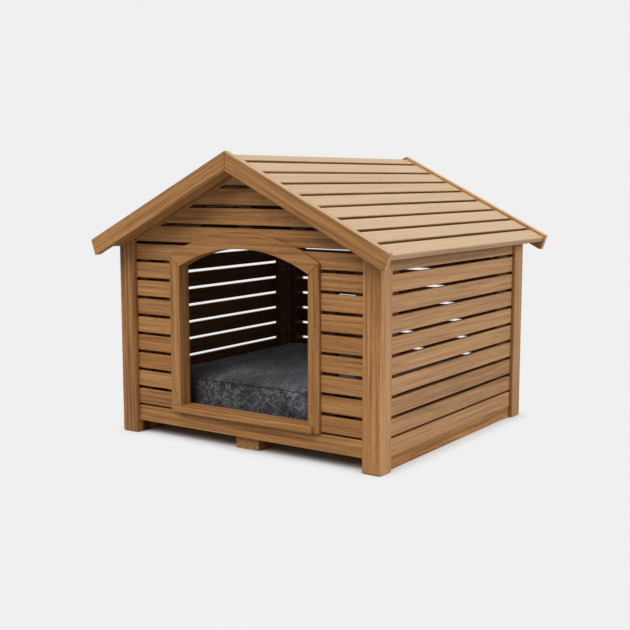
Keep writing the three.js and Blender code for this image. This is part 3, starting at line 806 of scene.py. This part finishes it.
cushion_low, cushion_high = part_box("cushion")
cushion_middle = (cushion_low + cushion_high) / 2
swell = 0.006  # left on each side for the filling to push out
half_across = cushion_high.x - cushion_middle.x - swell
half_along = cushion_high.y - cushion_middle.y - swell
corner_round = 0.045
edge_round = 0.014
seam_turn = edge_round * 0.35  # how far a panel turns towards the other one at its seam
cushion_crown = 0.006
deck_clearance = 0.0005
band_bulge = 0.004
band_steps = 8
cell = 0.0085
puff_cap = 0.010  # the furthest that the filling moves a point of the cover
room = 0.002  # past the solid's sides
headroom = 0.009  # how far the filling lifts the top above the solid's
seam_drop = 0.005  # the upper seam below the solid's top
shoulder = 0.12  # from the seam to where the top has its full height
tuft_height = 0.0009
welt_radius = 0.0019
welt_sides = 8
welt_inset = 0.0003


def rounded_side(a, b):
    """A point of a square's edge moved to the rounded rectangle of the cushion's outline."""
    x, y = a * half_across, b * half_along
    inner_x = max(-half_across + corner_round, min(half_across - corner_round, x))
    inner_y = max(-half_along + corner_round, min(half_along - corner_round, y))
    off = Vector((x - inner_x, y - inner_y))
    if off.length > 1e-9:
        off = off.normalized() * corner_round
        if abs(x - inner_x) < 1e-9:
            off = Vector((0, math.copysign(corner_round, y)))
        elif abs(y - inner_y) < 1e-9:
            off = Vector((math.copysign(corner_round, x), 0))
    else:
        off = Vector((0, 0))
    return Vector((inner_x, inner_y)) + off


counts = (round(2 * half_across / cell), round(2 * half_along / cell))
pad = bmesh.new()
panel_height = {"bottom": cushion_low.z + deck_clearance, "top": cushion_high.z}
panels = {}
for name in panel_height:
    grid = {}
    for i in range(counts[0] + 1):
        for j in range(counts[1] + 1):
            a = 2 * i / counts[0] - 1
            b = 2 * j / counts[1] - 1
            reach = max(abs(a), abs(b))
            if reach > 0:
                flat = rounded_side(a / reach, b / reach) * reach
            else:
                flat = Vector((0, 0))
            height = panel_height[name]
            if name == "top":
                height += cushion_crown * (1 - reach ** 2.5)
            # both panels turn towards each other at their seams
            lip = max(0.0, 1 - (1 - reach) * half_along / edge_round)
            bend = seam_turn * lip ** 2
            height += -bend if name == "top" else bend * 0.5
            spot = (cushion_middle.x + flat.x, cushion_middle.y + flat.y, height)
            grid[i, j] = pad.verts.new(spot)
    panels[name] = grid
    for i in range(counts[0]):
        for j in range(counts[1]):
            quad = (grid[i, j], grid[i + 1, j], grid[i + 1, j + 1], grid[i, j + 1])
            pad.faces.new(quad if name == "top" else quad[::-1])

border = [(i, 0) for i in range(counts[0])]
border += [(counts[0], j) for j in range(counts[1])]
border += [(i, counts[1]) for i in range(counts[0], 0, -1)]
border += [(0, j) for j in range(counts[1], 0, -1)]
columns = []
for spot in border:
    foot, crest = panels["bottom"][spot], panels["top"][spot]
    column = [foot]
    # a high odd power turns the way out square to the sides, except near the corners
    to_side = (foot.co.x - cushion_middle.x) / half_across
    to_end = (foot.co.y - cushion_middle.y) / half_along
    outward = Vector((to_side ** 9, to_end ** 9, 0)).normalized()
    for step in range(1, band_steps):
        share = step / band_steps
        bulge = band_bulge * math.sin(math.pi * share)
        place = foot.co.lerp(crest.co, share) + outward * bulge
        column.append(pad.verts.new(place))
    column.append(crest)
    columns.append(column)
for column, following in zip(columns, columns[1:] + columns[:1]):
    for step in range(band_steps):
        pad.faces.new((column[step], following[step], following[step + 1], column[step + 1]))
pad.verts.index_update()
seam_loops = {
    "top": [column[-1].index for column in columns],
    "bottom": [column[0].index for column in columns],
}
bmesh.ops.recalc_face_normals(pad, faces=pad.faces)
pad_mesh = bpy.data.meshes.new("cushion_cover")
pad.to_mesh(pad_mesh)
pad.free()
cushion = bpy.data.objects.new("cushion_cover", pad_mesh)
scene.collection.objects.link(cushion)

# the filling pushes the cover out while the seams hold it in
cloth_frames = 20
start = [vertex.co.copy() for vertex in pad_mesh.vertices]
seams = cushion.vertex_groups.new(name="seams")
seams.add(seam_loops["top"] + seam_loops["bottom"], 1.0, "REPLACE")
cloth = cushion.modifiers.new("filling", "CLOTH")
cloth.settings.quality = 6
cloth.settings.mass = 0.3
cloth.settings.tension_stiffness = 12
cloth.settings.compression_stiffness = 12
cloth.settings.shear_stiffness = 6
cloth.settings.bending_stiffness = 0.6
cloth.settings.use_pressure = True
cloth.settings.uniform_pressure_force = 4
cloth.settings.effector_weights.gravity = 0
cloth.settings.shrink_min = 0.0
cloth.settings.vertex_group_shrink = "seams"
cloth.settings.shrink_max = 0.02
cloth.point_cache.frame_start = 1
cloth.point_cache.frame_end = cloth_frames
for moment in range(1, cloth_frames + 1):
    scene.frame_set(moment)
evaluated = cushion.evaluated_get(bpy.context.evaluated_depsgraph_get())
swollen = [vertex.co.copy() for vertex in evaluated.data.vertices]
cushion.modifiers.remove(cloth)
cushion.vertex_groups.clear()
scene.frame_set(1)
for vertex, first_place, last_place in zip(pad_mesh.vertices, start, swollen):
    moved = last_place - first_place
    if moved.length > puff_cap:
        moved = moved.normalized() * puff_cap
    vertex.co = first_place + moved

# pressed flat where it lies on the deck, kept within the floor's edges, and held down by the
# seam so that the top rises from it in a slow curve
for vertex in pad_mesh.vertices:
    vertex.co.x = max(cushion_low.x - room, min(cushion_high.x + room, vertex.co.x))
    vertex.co.y = max(cushion_low.y - room, min(cushion_high.y + room, vertex.co.y))
    to_side = half_across - abs(vertex.co.x - cushion_middle.x)
    to_end = half_along - abs(vertex.co.y - cushion_middle.y)
    rise = max(0.0, min(1.0, min(to_side, to_end) / shoulder))
    highest = cushion_high.z - seam_drop + (headroom + seam_drop) * rise * (2 - rise)
    vertex.co.z = max(cushion_low.z, min(highest, vertex.co.z))

subdivision = cushion.modifiers.new("smooth", "SUBSURF")
subdivision.levels = 1
subdivision.render_levels = 1
bpy.context.view_layer.update()
evaluated = cushion.evaluated_get(bpy.context.evaluated_depsgraph_get())
fine_mesh = bpy.data.meshes.new_from_object(evaluated)
cushion.modifiers.remove(subdivision)
cushion.data = fine_mesh

# tufts of the pile, raised out of the cover, except underneath
smooth = [(vertex.co.copy(), vertex.normal.copy()) for vertex in fine_mesh.vertices]
for vertex, (place, outward) in zip(fine_mesh.vertices, smooth):
    tuft = noise.noise(place * 150) * 0.6 + noise.noise(place * 340) * 0.4
    if outward.z > -0.5:
        vertex.co = place + outward * tuft * tuft_height
for polygon in fine_mesh.polygons:
    polygon.use_smooth = True

plush = Finish("grey_plush")
x, y, z = plush.place()
speck = plush.noise(x * 620, y * 620, z * 620, detail=2.0, roughness=0.65)
tufts = plush.noise(x * 210, y * 210, z * 210, detail=3.0, roughness=0.6, distortion=0.4)
brushed = plush.noise(x * 26 + y * 9, y * 8 - x * 3, z * 26, detail=3.0, distortion=0.6)
patches = plush.noise(x * 9, y * 9, z * 16, detail=2.0)
clumps = plush.noise(x * 95, y * 95, z * 95, detail=3.0, roughness=0.65, distortion=0.8)
nap = 0.54 + (speck - 0.5) * 1.9 + (tufts - 0.5) * 1.5 + (clumps - 0.5) * 1.6
nap = nap + (brushed - 0.5) * 1.2 + (patches - 0.5) * 0.9
plush_stops = [
    (0.0, (0.010, 0.010, 0.012)),
    (0.4, (0.050, 0.050, 0.056)),
    (0.65, (0.100, 0.100, 0.110)),
    (1.0, (0.250, 0.250, 0.272)),
]
# painted shade colour, for the crevices at the seams
crevice_shade_colour = (0.006, 0.006, 0.007)
pile_height = 0.0022
pile = speck * 0.5 + tufts * 0.8 + clumps * 0.7 + brushed * 0.25
# painted shade: the plush darkened towards near black in the crevices beside the welt at the
# seams
crevice_shade = plush.openness(0.010) + (tufts - 0.5) * 0.3
crevice_shade = plush.ease(crevice_shade, 0.50, 0.86, 0.85, 0.0)
plush.surface(
    Base_Color=plush.blend(crevice_shade, plush.ramp(plush_stops, nap), crevice_shade_colour),
    Roughness=0.88 + (speck - 0.5) * 0.2,
    Specular_IOR_Level=0.15,
    Sheen_Weight=0.42,
    Sheen_Roughness=0.40,
    Sheen_Tint=(0.75, 0.76, 0.82, 1),
    Normal=plush.bump(pile, 0.75, pile_height),
)
fine_mesh.materials.clear()
fine_mesh.materials.append(plush.owner)
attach(cushion, "cushion")
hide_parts("cushion")

# the welt: a fine cord of the same plush sewn into both seams
welt = bmesh.new()
for loop in seam_loops.values():
    spine = [pad_mesh.vertices[index].co.copy() for index in loop]
    count = len(spine)
    rings = []
    for step in range(count):
        ahead = (spine[(step + 1) % count] - spine[step - 1]).normalized()
        outward = Vector((ahead.y, -ahead.x, 0)).normalized()
        upward = outward.cross(ahead).normalized()
        centre = spine[step] - outward * welt_inset
        centre.z = max(centre.z, cushion_low.z + welt_radius)
        ring = []
        for turn in range(welt_sides):
            angle = 2 * math.pi * turn / welt_sides
            spoke = outward * math.cos(angle) + upward * math.sin(angle)
            ring.append(welt.verts.new(centre + spoke * welt_radius))
        rings.append(ring)
    for step in range(count):
        here, beyond = rings[step], rings[(step + 1) % count]
        for turn in range(welt_sides):
            following = (turn + 1) % welt_sides
            welt.faces.new((here[turn], beyond[turn], beyond[following], here[following]))
bmesh.ops.recalc_face_normals(welt, faces=welt.faces)
welt_mesh = bpy.data.meshes.new("cushion_welt")
welt.to_mesh(welt_mesh)
welt.free()
for polygon in welt_mesh.polygons:
    polygon.use_smooth = True
welt_mesh.materials.append(plush.owner)
cushion_welt = bpy.data.objects.new("cushion_welt", welt_mesh)
scene.collection.objects.link(cushion_welt)
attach(cushion_welt, "cushion")

# ---- floor and light ---------------------------------------------------------------------
# A plain pale floor that runs on into an equally pale background, one broad soft lamp over the
# right side and one over the front, and air that is brightest overhead.

backdrop_white = 0.871
floor_bounce = 0.50  # paleness of the floor as the object sees it
contact_reach = 0.055  # how far in front of the object the floor shows its shadow
under_reach = 0.15  # how high above the floor a piece still darkens what is under it
air_low = 0.165  # brightness of the air at the horizon
air_rise = 0.20  # what it gains by the zenith
lamps = [  # name, direction of its light, strength, spread in degrees
    ("key", Vector((-0.90, -0.06, -0.41)), 0.515, 36),
    ("front", Vector((0.20, 0.64, -0.74)), 0.56, 40),
]

floor_mesh = bpy.data.meshes.new("floor")
floor_reach = 60
corners = [(floor_reach * x, floor_reach * y, 0) for x, y in ((-1, -1), (1, -1), (1, 1), (-1, 1))]
floor_mesh.from_pydata(corners, [], [(0, 1, 2, 3)])
floor = bpy.data.objects.new("floor", floor_mesh)
scene.collection.objects.link(floor)
ground = Finish("pale_floor")
seen = ground.node("ShaderNodeLightPath", output="Is Camera Ray")
paleness = ground.between(seen, floor_bounce, backdrop_white)
grey = ground.node("ShaderNodeCombineXYZ", None, {0: paleness, 1: paleness, 2: paleness})
matt = ground.node("ShaderNodeBsdfDiffuse", None, {"Color": grey})
white = (backdrop_white, backdrop_white, backdrop_white, 1)
even = ground.node("ShaderNodeEmission", None, {"Color": white, "Strength": 1.0})
# as white as the background in the open, a little shaded close to the object, and as dark as
# the light leaves it underneath
beside = ground.openness(contact_reach)
near = ground.ease(beside, 0.30, 0.60) * 0.6 + ground.ease(beside, 0.60, 0.97) * 0.4
share = seen * near * ground.ease(ground.openness(under_reach), 0.33, 0.50)
mixed = ground.node("ShaderNodeMixShader", None, {0: share, 1: matt, 2: even})
ground.node("ShaderNodeOutputMaterial", None, {"Surface": mixed})
floor_mesh.materials.append(ground.owner)

air = Finish("studio", family="worlds")
scene.world = air.owner
direction = air.parts(air.node("ShaderNodeTexCoord", output="Generated"))
glow = air_low + direction[2].at_least(0.0) * air_rise
camera_ray, glossy_ray, passing_ray = (
    air.node("ShaderNodeLightPath", output=f"Is {kind} Ray")
    for kind in ("Camera", "Glossy", "Transmission")
)
shown = camera_ray.at_least(glossy_ray).at_least(passing_ray)
strength = air.between(shown, glow, backdrop_white)
lit_air = air.node("ShaderNodeBackground", None, {"Color": (1, 1, 1, 1), "Strength": strength})
air.node("ShaderNodeOutputWorld", None, {"Surface": lit_air})

for name, towards, strength, spread in lamps:
    lamp_data = bpy.data.lights.new(name, "SUN")
    lamp_data.energy = strength * math.pi
    lamp_data.angle = math.radians(spread)
    lamp = bpy.data.objects.new(name, lamp_data)
    lamp.rotation_euler = towards.to_track_quat("-Z", "Y").to_euler()
    scene.collection.objects.link(lamp)
